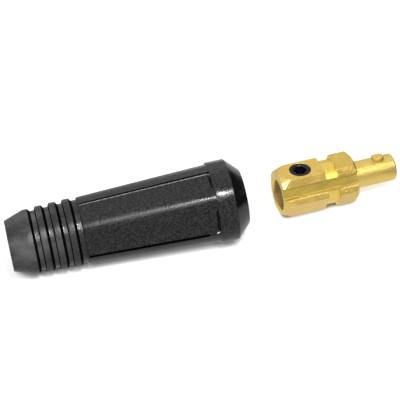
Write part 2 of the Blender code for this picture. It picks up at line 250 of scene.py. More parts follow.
# Paper: contact shadow, lift to white for the camera, and its fades in reflections by place, one of
# them a painted shade under the sleeve
PAPER_HALF_SIDE = 3.0
SHADOW_REACH = 2.5 * MM
SHADOW_FADE = (0.1, 0.7)
SHADOW_SAMPLES = 16
PAPER_SHADE = (0.28, 0.28, 0.28)
PAPER_WHITE = (0.9, 0.9, 0.9)
PAPER_LIFT = 0.44
PAPER_TO_RIGHT = (38.0 * MM, 55.0 * MM, 0.93, 0.05)
PAPER_BEHIND = (40.0 * MM, 100.0 * MM, 0.0, 0.93)
# Dimmer floor in reflections under the sleeve: a painted shade
PAPER_UNDER_SLEEVE = (-30.0 * MM, -15.0 * MM, 0.62, 1.0)

FLAT_SHARE = math.cos(math.radians(30))
HEX_RADIUS = HEX_FLATS / 2 / FLAT_SHARE
CABLE_FACE_RADIUS = HEX_FLATS / 2 - CABLE_FACE_INSET
PIN_FACE_RADIUS = HEX_FLATS / 2 - PIN_FACE_INSET
GROOVE_RADIUS = HEX_FLATS / 2 - GROOVE_DEPTH
MOUTH_RADIUS = HEX_FLATS / 2 + MOUTH_CLEARANCE
CABLE_HOLE_RADIUS = HEX_FLATS / 2 - SEAT_SHOULDER
GROOVE_END = BARREL_LENGTH + GROOVE_WIDTH
HEX_LENGTH = GROOVE_END + FLANGE_LENGTH
FIRST_GROOVE = TAIL_LENGTH + SHOULDER_LENGTH + RING_GAP / 2
BODY_START = FIRST_GROOVE + RING_COUNT * RING_PITCH + RING_GAP / 2
BODY_END = BODY_START + BODY_LENGTH
COLLAR_END = BODY_END + COLLAR_LENGTH
SLEEVE_LENGTH = COLLAR_END + FRONT_CHAMFER_LENGTH
LAST_GROOVE_FLOOR = (LAST_RING_RADIUS + BAND_START_RADIUS + PAD_RISE) / 2 - RING_GAP_DEPTH


def polar(radius, degrees):
    """(y, z) of a point at an angle counted from +Y towards +Z."""
    return (radius * math.cos(math.radians(degrees)), radius * math.sin(math.radians(degrees)))


def rounded(corners, steps):
    """Open outline of (along, out) corners, where a third value is the radius of a corner's arc."""
    result = []
    for number, corner in enumerate(corners):
        tip = Vector(corner[:2])
        if len(corner) == 2:
            result.append(tip)
            continue
        radius = corner[2]
        before = (Vector(corners[number - 1][:2]) - tip).normalized()
        after = (Vector(corners[number + 1][:2]) - tip).normalized()
        half = before.angle(after) / 2
        centre = tip + (before + after).normalized() * radius / math.sin(half)
        start = tip + before * radius / math.tan(half) - centre
        end = tip + after * radius / math.tan(half) - centre
        for step in range(steps + 1):
            spoke = start.lerp(end, step / steps).normalized() * radius
            result.append(centre + spoke)
    return result


def straight(start, end, radius):
    """Profile of a plain cylinder."""
    return [(start, 0), (start, radius), (end, radius), (end, 0)]


def new_piece(name, bm):
    """Make an object of a bmesh, with its faces pointing outwards."""
    bmesh.ops.remove_doubles(bm, verts=bm.verts, dist=WELD)
    bmesh.ops.recalc_face_normals(bm, faces=bm.faces)
    mesh = bpy.data.meshes.new(name)
    bm.to_mesh(mesh)
    bm.free()
    piece = bpy.data.objects.new(name, mesh)
    bpy.context.scene.collection.objects.link(piece)
    return piece


def lathe(profile, sectors):
    """Bmesh turned about X from (station, radius) points; sectors are (degrees, steps) in turn."""
    bm = bmesh.new()
    first = sectors[0][0]
    verts = []
    for station, radius in profile:
        y, z = polar(radius, first)
        verts.append(bm.verts.new((station, y, z)))
    line = verts + [bm.edges.new(pair) for pair in zip(verts, verts[1:])]
    for degrees, steps in sectors[1:]:
        swept = bmesh.ops.spin(bm, geom=line, cent=(0, 0, 0), axis=(1, 0, 0), dvec=(0, 0, 0),
                               angle=math.radians(degrees), steps=steps, use_duplicate=False,
                               use_merge=degrees == 360)
        line = swept["geom_last"]
    return bm


def turned(name, profile, facets):
    """Solid of revolution about X whose profile starts and ends on the axis."""
    return new_piece(name, lathe(profile, [(90.0, 0), (360.0, facets)]))


def upright(name, profile, facets):
    """Solid of revolution about Z, from (height, radius) points."""
    piece = turned(name, profile, facets)
    piece.data.transform(Matrix.Rotation(-math.pi / 2, 4, "Y"))
    return piece


def extruded(bm, outline, offset):
    """Face of an outline of 3-D points, extruded by an offset."""
    face = bm.faces.new([bm.verts.new(point) for point in outline])
    grown = bmesh.ops.extrude_face_region(bm, geom=[face], use_keep_orig=True)
    far_end = [item for item in grown["geom"] if isinstance(item, bmesh.types.BMVert)]
    bmesh.ops.translate(bm, verts=far_end, vec=offset)


def drawn_bar(name, outline, start, end):
    """Hexagon bar along X of a (y, z) outline, its long edges rounded."""
    bm = bmesh.new()
    extruded(bm, [(start, y, z) for y, z in outline], (end - start, 0, 0))
    long_edges = [edge for edge in bm.edges
                  if abs(edge.verts[0].co.x - edge.verts[1].co.x) > HEX_EDGE]
    bmesh.ops.bevel(bm, geom=long_edges, offset=HEX_EDGE, offset_type="OFFSET", affect="EDGES",
                    segments=3, profile=0.5, material=-1, clamp_overlap=True)
    return new_piece(name, bm)


def combine(target, operation, tool):
    """Boolean with a tool that is gone afterwards."""
    modifier = target.modifiers.new(operation.lower(), "BOOLEAN")
    modifier.operation = operation
    modifier.solver = "EXACT"
    modifier.object = tool
    depsgraph = bpy.context.evaluated_depsgraph_get()
    made = bpy.data.meshes.new_from_object(target.evaluated_get(depsgraph))
    target.modifiers.clear()
    target.data = made
    bpy.data.objects.remove(tool)


def hex_outline(flats, notch_width, notch_depth, notch_bevel):
    """Hexagon with flats above and below and one notch in its keyway facet."""
    outward = Vector(polar(1.0, KEYWAY_ANGLE))
    along = Vector(polar(1.0, KEYWAY_ANGLE + 90))
    half = notch_width / 2
    notch = ((-half, 0.0), (-half, notch_depth), (half, notch_depth), (half, notch_bevel),
             (half + notch_bevel, 0.0))
    outline = []
    for corner_angle in range(0, 360, 60):
        outline.append(polar(flats / 2 / FLAT_SHARE, corner_angle))
        if corner_angle + 30 == KEYWAY_ANGLE:
            for across, depth in notch:
                point = outward * (flats / 2 - depth) + along * across
                outline.append((point.x, point.y))
    return outline


def threaded_rod(name, root, crest, start, turns):
    """Rod along Z with a helical thread, closed at both ends; flanks in shares of the pitch."""
    bm = bmesh.new()
    flank = ((root, 0.0), (root, 0.125), (crest, 0.44), (crest, 0.56), (root, 0.875), (root, 1.0))
    verts = [bm.verts.new((radius, 0, start + share * THREAD_PITCH)) for radius, share in flank]
    line = verts + [bm.edges.new(pair) for pair in zip(verts, verts[1:])]
    bmesh.ops.spin(bm, geom=line, cent=(0, 0, 0), axis=(0, 0, 1),
                   dvec=(0, 0, THREAD_PITCH / THREAD_STEPS), angle=2 * math.pi * turns,
                   steps=turns * THREAD_STEPS, use_duplicate=False)
    bmesh.ops.remove_doubles(bm, verts=bm.verts, dist=WELD)
    filled = bmesh.ops.holes_fill(bm, edges=[edge for edge in bm.edges if edge.is_boundary])
    bmesh.ops.poke(bm, faces=filled["faces"])
    return new_piece(name, bm)


def make_contact():
    """Hex bar with keyway, turned groove and ends, cable bore, tapped hole, pin and lug."""
    outline = hex_outline(HEX_FLATS, KEYWAY_WIDTH, KEYWAY_DEPTH, KEYWAY_BEVEL)
    contact = drawn_bar("contact", outline, -OVERSHOOT, HEX_LENGTH + OVERSHOOT)
    combine(contact, "INTERSECT", turned_envelope())
    combine(contact, "UNION", make_pin())
    combine(contact, "UNION", make_lug())
    combine(contact, "DIFFERENCE", cable_bore())
    for cutter in tapped_hole():
        combine(contact, "DIFFERENCE", cutter)
    contact.data.transform(Matrix.Translation((-REST_STATION, 0, HEX_FLATS / 2)))
    return contact


def turned_envelope():
    """What the lathe leaves of the bar: chamfered ends and a groove between barrel and flange."""
    beyond = HEX_RADIUS + OVERSHOOT
    cable_slope = (HEX_RADIUS - CABLE_FACE_RADIUS) / CABLE_CHAMFER_LENGTH
    pin_slope = (HEX_RADIUS - PIN_FACE_RADIUS) / PIN_CHAMFER_LENGTH
    profile = [(0, 0), (0, CABLE_FACE_RADIUS, TURNED_EDGE),
               ((beyond - CABLE_FACE_RADIUS) / cable_slope, beyond),
               (BARREL_LENGTH, beyond), (BARREL_LENGTH, GROOVE_RADIUS, TURNED_EDGE),
               (GROOVE_END, GROOVE_RADIUS, TURNED_EDGE), (GROOVE_END, beyond),
               (HEX_LENGTH - (beyond - PIN_FACE_RADIUS) / pin_slope, beyond),
               (HEX_LENGTH, PIN_FACE_RADIUS, TURNED_EDGE), (HEX_LENGTH, 0)]
    return turned("turned_envelope", rounded(profile, steps=3), ENVELOPE_FACETS)


def make_pin():
    """Round pin with a rounded tip, sunk into the hexagon."""
    root = HEX_LENGTH - OVERSHOOT
    tip = HEX_LENGTH + PIN_LENGTH
    profile = [(root, 0), (root, PIN_RADIUS), (tip, PIN_RADIUS, PIN_TIP_RADIUS), (tip, 0)]
    return turned("pin", rounded(profile, steps=8), PIN_FACETS)


def make_lug():
    """Bayonet lug: square at the hex side, round towards the tip."""
    half = LUG_WIDTH / 2
    straight_length = LUG_LENGTH - half
    base = PIN_RADIUS / 2
    outline = [(0.0, half, base), (0.0, -half, base)]
    for step in range(NOSE_STEPS + 1):
        y, x = polar(half, 180 - 180 * step / NOSE_STEPS)
        outline.append((straight_length + x, y, base))
    bm = bmesh.new()
    extruded(bm, outline, (0, 0, base + LUG_HEIGHT))
    bmesh.ops.remove_doubles(bm, verts=bm.verts, dist=WELD)
    rim = [edge for edge in bm.edges if all(vert.co.z > PIN_RADIUS for vert in edge.verts)]
    bmesh.ops.bevel(bm, geom=rim, offset=LUG_EDGE, offset_type="OFFSET", affect="EDGES",
                    segments=4, profile=0.5, material=-1, clamp_overlap=True)
    lug = new_piece("lug", bm)
    lug.data.transform(Matrix.Rotation(math.radians(LUG_ANGLE - 90), 4, "X"))
    lug.data.transform(Matrix.Translation((HEX_LENGTH + LUG_START, 0, 0)))
    return lug


def cable_bore():
    """Cutter for the drilled bore with its mouth chamfer and drill point, below the axis."""
    point_length = BORE_RADIUS / math.tan(math.radians(DRILL_POINT_HALF_ANGLE))
    profile = [(-OVERSHOOT, 0), (-OVERSHOOT, BORE_RADIUS + BORE_MOUTH_CHAMFER + OVERSHOOT),
               (BORE_MOUTH_CHAMFER, BORE_RADIUS), (BORE_DEPTH, BORE_RADIUS),
               (BORE_DEPTH + point_length, 0)]
    bore = turned("cable_bore", profile, PIN_FACETS)
    bore.data.transform(Matrix.Translation((0, 0, -BORE_DROP)))
    return bore


def tapped_hole():
    """Cutters for the thread of the hole and for its plain mouth."""
    surface = HEX_FLATS / 2
    rod = threaded_rod("tapped_hole", HOLE_RADIUS, HOLE_RADIUS + THREAD_DEPTH,
                       -BORE_DROP, HOLE_TURNS)
    profile = [(surface - HOLE_PLAIN, 0), (surface - HOLE_PLAIN, HOLE_RADIUS),
               (surface - HOLE_CHAMFER, HOLE_RADIUS),
               (surface + OVERSHOOT, HOLE_RADIUS + HOLE_CHAMFER + OVERSHOOT),
               (surface + OVERSHOOT, 0)]
    mouth = upright("hole_mouth", profile, SMALL_FACETS)
    for cutter in (rod, mouth):
        cutter.data.transform(Matrix.Translation((SCREW_STATION, 0, 0)))
    return rod, mouth


def make_set_screw():
    """Headless screw with a real thread and a hexagon socket."""
    top = -SCREW_RECESS
    end = top - SCREW_LENGTH
    profile = [(end, 0), (end, SCREW_RADIUS - SCREW_POINT_CHAMFER),
               (end + SCREW_POINT_CHAMFER, SCREW_RADIUS), (top, SCREW_RADIUS, SCREW_EDGE), (top, 0)]
    screw = upright("screw", rounded(profile, steps=4), SMALL_FACETS)
    thread = threaded_rod("thread", SCREW_RADIUS - THREAD_DEPTH, SCREW_RADIUS,
                          end - THREAD_PITCH, SCREW_TURNS)
    plain = straight(top - SCREW_PLAIN, top + OVERSHOOT, SCREW_RADIUS + OVERSHOOT)
    combine(thread, "UNION", upright("plain_top", plain, SMALL_FACETS))
    combine(screw, "INTERSECT", thread)
    for cutter in hexagon_socket(top):
        combine(screw, "DIFFERENCE", cutter)
    screw.data.transform(Matrix.Translation((SCREW_STATION - REST_STATION, 0, HEX_FLATS)))
    return screw


def hexagon_socket(top):
    """Cutters for the screw's socket and its countersink."""
    corner = SOCKET_FLATS / 2 / FLAT_SHARE
    bm = bmesh.new()
    bmesh.ops.create_cone(bm, cap_ends=True, segments=6, radius1=corner, radius2=corner,
                          depth=2 * SOCKET_DEPTH,
                          matrix=Matrix.Translation((0, 0, top))
                          @ Matrix.Rotation(math.radians(SOCKET_TURN), 4, "Z"))
    profile = [(top - SOCKET_CHAMFER, 0), (top - SOCKET_CHAMFER, corner),
               (top + OVERSHOOT, corner + SOCKET_CHAMFER + OVERSHOOT), (top + OVERSHOOT, 0)]
    return new_piece("socket", bm), upright("countersink", profile, COUNTERSINK_FACETS)


def ring_radius(ring):
    """Radius of a grip ring, which grows towards the body; the shoulder counts as ring -1."""
    if ring < 0:
        return SHOULDER_RADIUS
    if ring >= RING_COUNT:
        return BAND_START_RADIUS + PAD_RISE
    return FIRST_RING_RADIUS + ring / (RING_COUNT - 1) * (LAST_RING_RADIUS - FIRST_RING_RADIUS)


def sleeve_profile():
    """Outer profile of the sleeve, with the body as plain as its bands."""
    corners = [(0, 0), (0, TAIL_RADIUS, TAIL_EDGE), (TAIL_LENGTH, SHOULDER_RADIUS, SHOULDER_EDGE)]
    for ring in range(RING_COUNT + 1):
        start = FIRST_GROOVE + ring * RING_PITCH - RING_GAP / 2
        end = FIRST_GROOVE + ring * RING_PITCH + RING_GAP / 2
        floor = (ring_radius(ring - 1) + ring_radius(ring)) / 2 - RING_GAP_DEPTH
        corners += [(start, ring_radius(ring - 1), RING_CROWN),
                    (start + RING_TAIL_DRAFT, floor, ROOT_EDGE)]
        if ring < RING_COUNT:
            corners += [(end - RING_FRONT_DRAFT, floor, ROOT_EDGE),
                        (end, ring_radius(ring), RING_CROWN)]
    corners.append((BODY_START, floor))
    corners += body_corners()
    corners += [(BODY_END, COLLAR_START_RADIUS, COLLAR_EDGE),
                (BODY_END + COLLAR_LENGTH / 3, COLLAR_START_RADIUS),
                (COLLAR_END, COLLAR_END_RADIUS, COLLAR_EDGE),
                (SLEEVE_LENGTH, RIM_RADIUS, RIM_EDGE), (SLEEVE_LENGTH, 0)]
    return rounded(corners, steps=5)


def body_corners():
    """Points along the body: a rounded start, even steps, and close ones where pads run out."""
    corners = []
    for step in range(BODY_EDGE_STEPS + 1):
        lean = math.radians(90 * step / BODY_EDGE_STEPS)
        corners.append((BODY_START + BODY_EDGE * (1 - math.cos(lean)),
                        BAND_START_RADIUS - BODY_EDGE * (1 - math.sin(lean))))
    plain_start = BODY_START + PAD_RUN_OUT
    plain_end = BODY_END - PAD_RUN_OUT
    stations = [plain_start + (plain_end - plain_start) * step / BODY_STEPS
                for step in range(1, BODY_STEPS)]
    stations += [BODY_END - RUN_OUT_REACH * (1 - step / BODY_STEPS)
                 for step in range(BODY_STEPS + 1)]
    return corners + [(station, band_radius(station)) for station in stations]


def band_radius(station):
    """Radius of the round bands between the pads."""
    share = (station - BODY_START) / BODY_LENGTH
    return BAND_START_RADIUS + share * (BAND_END_RADIUS - BAND_START_RADIUS)


def smooth_share(value):
    """0 to 1, eased at both ends."""
    value = max(0.0, min(1.0, value))
    return value * value * (3 - 2 * value)


def from_pad(degrees):
    """Angle from the nearest pad's ridge, and how far that lies beyond the pad's edge."""
    span = 360 / PAD_COUNT
    offset = (degrees - RIDGE_ANGLE + span / 2) % span - span / 2
    return offset, abs(offset) - (WIDE_SIDE if offset > 0 else NARROW_SIDE)


def pad_radius(band, rise, dip, offset):
    """Radius of a pad at an angle from its ridge: round ridge between two flats."""
    side = WIDE_SIDE if offset > 0 else NARROW_SIDE
    edge = band + rise
    centre = band + RIDGE_RISE - RIDGE_FILLET
    out = edge * math.cos(math.radians(side)) - centre
    over = edge * math.sin(math.radians(side))
    lean = math.atan2(over, out) - math.acos(RIDGE_FILLET / math.hypot(out, over))
    turn = math.radians(abs(offset))
    touch = math.atan2(RIDGE_FILLET * math.sin(lean), centre + RIDGE_FILLET * math.cos(lean))
    if turn < touch:
        reach = math.sqrt(RIDGE_FILLET ** 2 - (centre * math.sin(turn)) ** 2)
        return centre * math.cos(turn) + reach
    share = (turn - touch) / (math.radians(side) - touch)
    depth = dip if offset > 0 else dip / 2
    distance = centre * math.cos(lean) + RIDGE_FILLET - depth * 4 * share * (1 - share)
    return distance / math.cos(turn - lean)


def body_radius(station, degrees):
    """Radius of the body outside at a station and an angle from +Y towards +Z."""
    to_end = BODY_END - station
    fade = smooth_share((to_end - CREASE_WIDTH / 2) / (PAD_RUN_OUT - CREASE_WIDTH / 2))
    rise = PAD_END_RISE + (PAD_RISE - PAD_END_RISE) * fade
    dip = CREASE_DEPTH * (1 - smooth_share(to_end / CREASE_WIDTH))
    inset = 0.0
    from_start = (station - BODY_START) / BODY_EDGE
    if from_start < 1:
        inset = BODY_EDGE * (1 - math.sqrt(max(0.0, 1 - (1 - from_start) ** 2)))
    band = band_radius(station)
    offset, beyond = from_pad(degrees)
    half_groove = math.degrees(PAD_GROOVE_WIDTH / band) / 2
    radius = band - PAD_GROOVE_DEPTH * (1 - smooth_share((beyond - half_groove) / half_groove))
    if beyond < 0:
        radius += (pad_radius(band, rise, dip, offset) - radius) * smooth_share(-beyond / PAD_STEP)
    return max(LAST_GROOVE_FLOOR, radius - inset)


def pad_sectors():
    """Sectors of the turned sleeve, with vertices on every edge of the pads and their grooves."""
    rest = 360 / PAD_COUNT - NARROW_SIDE - WIDE_SIDE - 2 * PAD_GROOVE_SPAN
    pad = [(PAD_STEP, 4), (NARROW_SIDE - PAD_STEP, 26), (WIDE_SIDE - PAD_STEP, 32), (PAD_STEP, 4)]
    band = [(PAD_GROOVE_SPAN, 10), (rest, 22), (PAD_GROOVE_SPAN, 10)]
    return [(RIDGE_ANGLE - NARROW_SIDE, 0)] + (pad + band) * PAD_COUNT


def raise_pads(bm):
    """Move the turned body's vertices out to the pads and into the grooves beside them."""
    inside_collar = BODY_END + COLLAR_LENGTH / 4
    for vert in bm.verts:
        station = vert.co.x
        radius = math.hypot(vert.co.y, vert.co.z)
        in_body = BODY_START - WELD <= station <= inside_collar
        if not in_body or radius < LAST_GROOVE_FLOOR + WELD:
            continue
        degrees = math.degrees(math.atan2(vert.co.z, vert.co.y)) % 360
        wanted = body_radius(station, degrees)
        if radius > band_radius(station) + WELD:
            wanted = max(wanted, radius)
        vert.co.y, vert.co.z = polar(wanted, degrees)


def sleeve_inside():
    """Cutter for the cable hole, the hexagonal seat with its key and rib, and the mouth."""
    seat_front = SLEEVE_LENGTH - MOUTH_LENGTH
    seat_back = SLEEVE_LENGTH - SEAT_RECESS - HEX_LENGTH - SEAT_CLEARANCE
    rib_back = seat_back + SEAT_CLEARANCE + BARREL_LENGTH + RIB_CLEARANCE
    rib_front = rib_back + GROOVE_WIDTH - 2 * RIB_CLEARANCE
    hole = [(-OVERSHOOT, 0), (-OVERSHOOT, CABLE_HOLE_RADIUS + CABLE_HOLE_CHAMFER + OVERSHOOT),
            (CABLE_HOLE_CHAMFER, CABLE_HOLE_RADIUS), (seat_back + OVERSHOOT, CABLE_HOLE_RADIUS),
            (seat_back + OVERSHOOT, 0)]
    inside = turned("inside", hole, SMALL_FACETS)
    outline = hex_outline(HEX_FLATS + 2 * SEAT_CLEARANCE, KEYWAY_WIDTH - 2 * KEY_CLEARANCE,
                          KEYWAY_DEPTH - KEY_CLEARANCE, KEYWAY_BEVEL)
    for start, end in ((seat_back, rib_back), (rib_front, seat_front)):
        combine(inside, "UNION", drawn_bar("seat", outline, start, end))
    for start, end, radius in ((rib_back, rib_front, GROOVE_RADIUS + RIB_CLEARANCE),
                               (seat_front, SLEEVE_LENGTH, MOUTH_RADIUS)):
        profile = straight(start - OVERSHOOT / 2, end + OVERSHOOT / 2, radius)
        combine(inside, "UNION", turned("round", profile, SMALL_FACETS))
    return inside


def make_sleeve():
    """Moulded sleeve: turned outside, padded body, seat for the contact and hole for the cable."""
    bm = lathe(sleeve_profile(), pad_sectors())
    raise_pads(bm)
    sleeve = new_piece("sleeve", bm)
    combine(sleeve, "DIFFERENCE", sleeve_inside())
    sleeve.data.transform(lying_place())
    return sleeve


def lying_place():
    """Where the tapered sleeve rests, on its first grip ring and its collar."""
    ring = FIRST_GROOVE + RING_GAP / 2 + RING_EDGE / 2
    pitch = math.atan2(COLLAR_START_RADIUS - FIRST_RING_RADIUS, BODY_END - ring)
    height = FIRST_RING_RADIUS * math.cos(pitch) - ring * math.sin(pitch)
    yaw = math.radians(SLEEVE_YAW)
    reach = SLEEVE_LENGTH * math.cos(pitch)
    front = Vector((-REST_STATION - SLEEVE_GAP, SLEEVE_OFFSET, height))
    start = front - reach * Vector((math.cos(yaw), math.sin(yaw), 0))
    turn = Matrix.Rotation(yaw, 4, "Z") @ Matrix.Rotation(-pitch, 4, "Y")
    return Matrix.Translation(start) @ turn


def soften(piece, degrees):
    """Smooth shading, kept sharp where faces meet at more than an angle."""
    bm = bmesh.new()
    bm.from_mesh(piece.data)
    bmesh.ops.remove_doubles(bm, verts=bm.verts, dist=WELD)
    bm.to_mesh(piece.data)
    bm.free()
    piece.data.shade_smooth()
    piece.data.set_sharp_from_angle(angle=math.radians(degrees))


def node(tree, kind, values=None, **settings):
    """Add a node, with its settings and its sockets' values."""
    made = tree.nodes.new(kind)
    for key, value in settings.items():
        setattr(made, key, value)
    for key, value in (values or {}).items():
        made.inputs[key].default_value = value
    return made


def feed(tree, socket, value):
    """Give a socket another node's output, a colour of three parts or a number."""
    if isinstance(value, bpy.types.NodeSocket):
        tree.links.new(value, socket)
    elif isinstance(value, tuple):
        socket.default_value = (*value, 1.0)
    else:
        socket.default_value = value


def ranged(tree, value, start, end, low=0.0, high=1.0):
    """Value that runs from low to high while another goes from start to end."""
    limits = {"From Min": start, "From Max": end, "To Min": low, "To Max": high}
    made = node(tree, "ShaderNodeMapRange", limits)
    tree.links.new(value, made.inputs["Value"])
    return made.outputs["Result"]


def between(tree, mask, low, high):
    """Value that runs from low to high with a mask."""
    return ranged(tree, mask, 0.0, 1.0, low, high)


def combined(tree, operation, first, second):
    """Math node on two sockets, or on a socket and a number."""
    made = node(tree, "ShaderNodeMath", operation=operation)
    feed(tree, made.inputs[0], first)
    feed(tree, made.inputs[1], second)
    return made.outputs[0]


def tint(tree, mask, first, second):
    """Mix two colours or sockets by a mask."""
    mix = node(tree, "ShaderNodeMix", data_type="RGBA")
    tree.links.new(mask, mix.inputs["Factor"])
    feed(tree, mix.inputs[6], first)
    feed(tree, mix.inputs[7], second)
    return mix.outputs[2]


def blended(tree, mask, first, second):
    """Mix two numbers or sockets by a mask."""
    mix = node(tree, "ShaderNodeMix", data_type="FLOAT")
    tree.links.new(mask, mix.inputs["Factor"])
    feed(tree, mix.inputs[2], first)
    feed(tree, mix.inputs[3], second)
    return mix.outputs[0]


def bumped(tree, layers):
    """Chain of Bump nodes from (mask, strength, distance) layers, finest last."""
    normal = None
    for mask, strength, distance in layers:
        bump = node(tree, "ShaderNodeBump", {"Strength": strength, "Distance": distance})
        tree.links.new(mask, bump.inputs["Height"])
        if normal:
            tree.links.new(normal, bump.inputs["Normal"])
        normal = bump.outputs["Normal"]
    return normal


def axes(tree, vector):
    """X and Y of a vector."""
    split = node(tree, "ShaderNodeSeparateXYZ")
    tree.links.new(vector, split.inputs["Vector"])
    return split.outputs["X"], split.outputs["Y"]


def marks_group():
    """Noise stretched along the axes: grain when even, streaks or rings when drawn out."""
    group = bpy.data.node_groups.new("surface_marks", "ShaderNodeTree")
    for label, kind, value in (("Vector", "NodeSocketVector", None),
                               ("Stretch", "NodeSocketVector", (1, 1, 1)),
                               ("Scale", "NodeSocketFloat", 1000.0),
                               ("Detail", "NodeSocketFloat", 3.0),
                               ("Low", "NodeSocketFloat", 0.35),
                               ("High", "NodeSocketFloat", 0.65)):
        socket = group.interface.new_socket(label, in_out="INPUT", socket_type=kind)
        if value is not None:
            socket.default_value = value
    group.interface.new_socket("Mask", in_out="OUTPUT", socket_type="NodeSocketFloat")
    start = group.nodes.new("NodeGroupInput")
    end = group.nodes.new("NodeGroupOutput")
    stretch = node(group, "ShaderNodeVectorMath", operation="MULTIPLY")
    noise = node(group, "ShaderNodeTexNoise")
    ease = node(group, "ShaderNodeMapRange", interpolation_type="SMOOTHSTEP")
    for given, taken in ((start.outputs["Vector"], stretch.inputs[0]),
                         (start.outputs["Stretch"], stretch.inputs[1]),
                         (stretch.outputs[0], noise.inputs["Vector"]),
                         (start.outputs["Scale"], noise.inputs["Scale"]),
                         (start.outputs["Detail"], noise.inputs["Detail"]),
                         (noise.outputs["Fac"], ease.inputs["Value"]),
                         (start.outputs["Low"], ease.inputs["From Min"]),
                         (start.outputs["High"], ease.inputs["From Max"]),
                         (ease.outputs["Result"], end.inputs["Mask"])):
        group.links.new(given, taken)
    return group


def marks(tree, group, vector, **values):
    """Place the marks group in a material and return its mask."""
    made = node(tree, "ShaderNodeGroup", node_tree=group)
    for key, value in values.items():
        made.inputs[key.capitalize()].default_value = value
    tree.links.new(vector, made.inputs["Vector"])
    return made.outputs["Mask"]


def start_material(name, centre, turn):
    """Material with a Principled shader and Object coordinates centred on a piece's axis."""
    made = bpy.data.materials.new(name)
    made.use_nodes = True
    tree = made.node_tree
    coordinates = node(tree, "ShaderNodeTexCoord")
    place = node(tree, "ShaderNodeMapping", {"Location": centre, "Rotation": turn},
                 vector_type="TEXTURE")
    tree.links.new(coordinates.outputs["Object"], place.inputs["Vector"])
    return made, tree, tree.nodes["Principled BSDF"], place.outputs["Vector"]


def rubber_material(name, group, specular, roughness, polish, shades):
    """Black moulded rubber: speckled grain, a dusty tail and a front end that hands have polished.

    The shades are those of the rubber, its specks and its dust.
    """
    place = lying_place()
    made, tree, shader, along = start_material(name, place.to_translation(), place.to_euler())
    station = axes(tree, along)[0]
    tail = ranged(tree, station, BODY_START, FIRST_GROOVE)
    front = ranged(tree, station, BODY_START + POLISH_START * BODY_LENGTH, BODY_END)
    chamfer = ranged(tree, station, COLLAR_END - WELD, COLLAR_END + WELD)
    grain = marks(tree, group, along, stretch=(0.8, 1.1, 1.1), scale=1700.0, detail=4.0,
                  low=0.40, high=0.63)
    mottle = marks(tree, group, along, scale=420.0, detail=3.0, low=0.35, high=0.7)
    scuff = marks(tree, group, along, stretch=(0.6, 1.1, 1.1), scale=120.0, detail=5.0,
                  low=0.38, high=0.68)
    black, speck, dusty = ((shade, shade, shade) for shade in shades)
    specks = combined(tree, "MULTIPLY", grain, between(tree, chamfer, 1.0, CHAMFER_SPECKS))
    dust = combined(tree, "MULTIPLY", tail, between(tree, scuff, LEAST_DUST, 1.0))
    colour = tint(tree, dust, tint(tree, specks, black, speck), dusty)
    tree.links.new(colour, shader.inputs["Base Color"])
    dull = between(tree, mottle, roughness - 0.03, roughness + 0.04)
    rough = combined(tree, "ADD", dull, combined(tree, "MULTIPLY", front, -polish))
    tree.links.new(rough, shader.inputs["Roughness"])
    rise = combined(tree, "MULTIPLY", grain, between(tree, front, 1.0, POLISHED_GRAIN))
    normal = bumped(tree, [(mottle, 0.10, 0.06 * MM), (rise, 0.35, 0.04 * MM)])
    tree.links.new(normal, shader.inputs["Normal"])
    shader.inputs["Specular IOR Level"].default_value = specular
    return made


def ring_finish(station, degrees):
    """Finish of the grip rings: walls in painted shade, and gap floors in glossier rubber where
    they face the light, a painted highlight.
    """
    lit = abs(degrees - GLINT_ANGLE) < GLINT_SPAN
    for ring in range(RING_COUNT + 1):
        into = (station - FIRST_GROOVE - ring * RING_PITCH) / RING_GAP + 0.5
        # The gaps' walls get near-black rubber: a painted shade
        if TAIL_WALL_START < into < FLOOR_START:
            return PAINTED_SHADE
        # Glossier floors only where they face the light: a painted highlight
        if FLOOR_START < into < FLOOR_END and lit:
            return LIT_GROOVE
        if FLOOR_END < into < FRONT_WALL_END and (lit or ring < RING_COUNT):
            return PAINTED_SHADE
    return MOULDED


def body_finish(station, degrees):
    """Finish of the body: painted shade lines beside the pads, pale upper edges that are wear and a
    painted highlight, and a painted glint at one corner.
    """
    offset, beyond = from_pad(degrees)
    to_end = BODY_END - station
    groove = math.degrees(PAD_GROOVE_WIDTH / band_radius(station))
    on_wide_side = offset > 0
    on_near_pad = abs(degrees) > 90
    if on_wide_side:
        # Dark line beside the pad's lower edge: painted shade
        if to_end > DARK_STOP and -DARK_OVERLAP < beyond < DARK_WIDTH * groove:
            return PAINTED_SHADE
        # Pale spot at the near pad's lower corner: a painted glint
        if on_near_pad and -GLINT_SPOT_SPAN < beyond < 0 and GLINT_SPOT_START < to_end < GLINT_SPOT_END:
            return GLINT_SPOT
        return MOULDED
    # Dark line beside the pad's upper edge: painted shade
    if 0 < beyond < DARK_WIDTH * groove:
        return PAINTED_SHADE
    # Pale upper edge: wear and a painted highlight
    return WORN_HIGHLIGHT if WORN_HIGHLIGHT_START < beyond < WORN_HIGHLIGHT_END else MOULDED


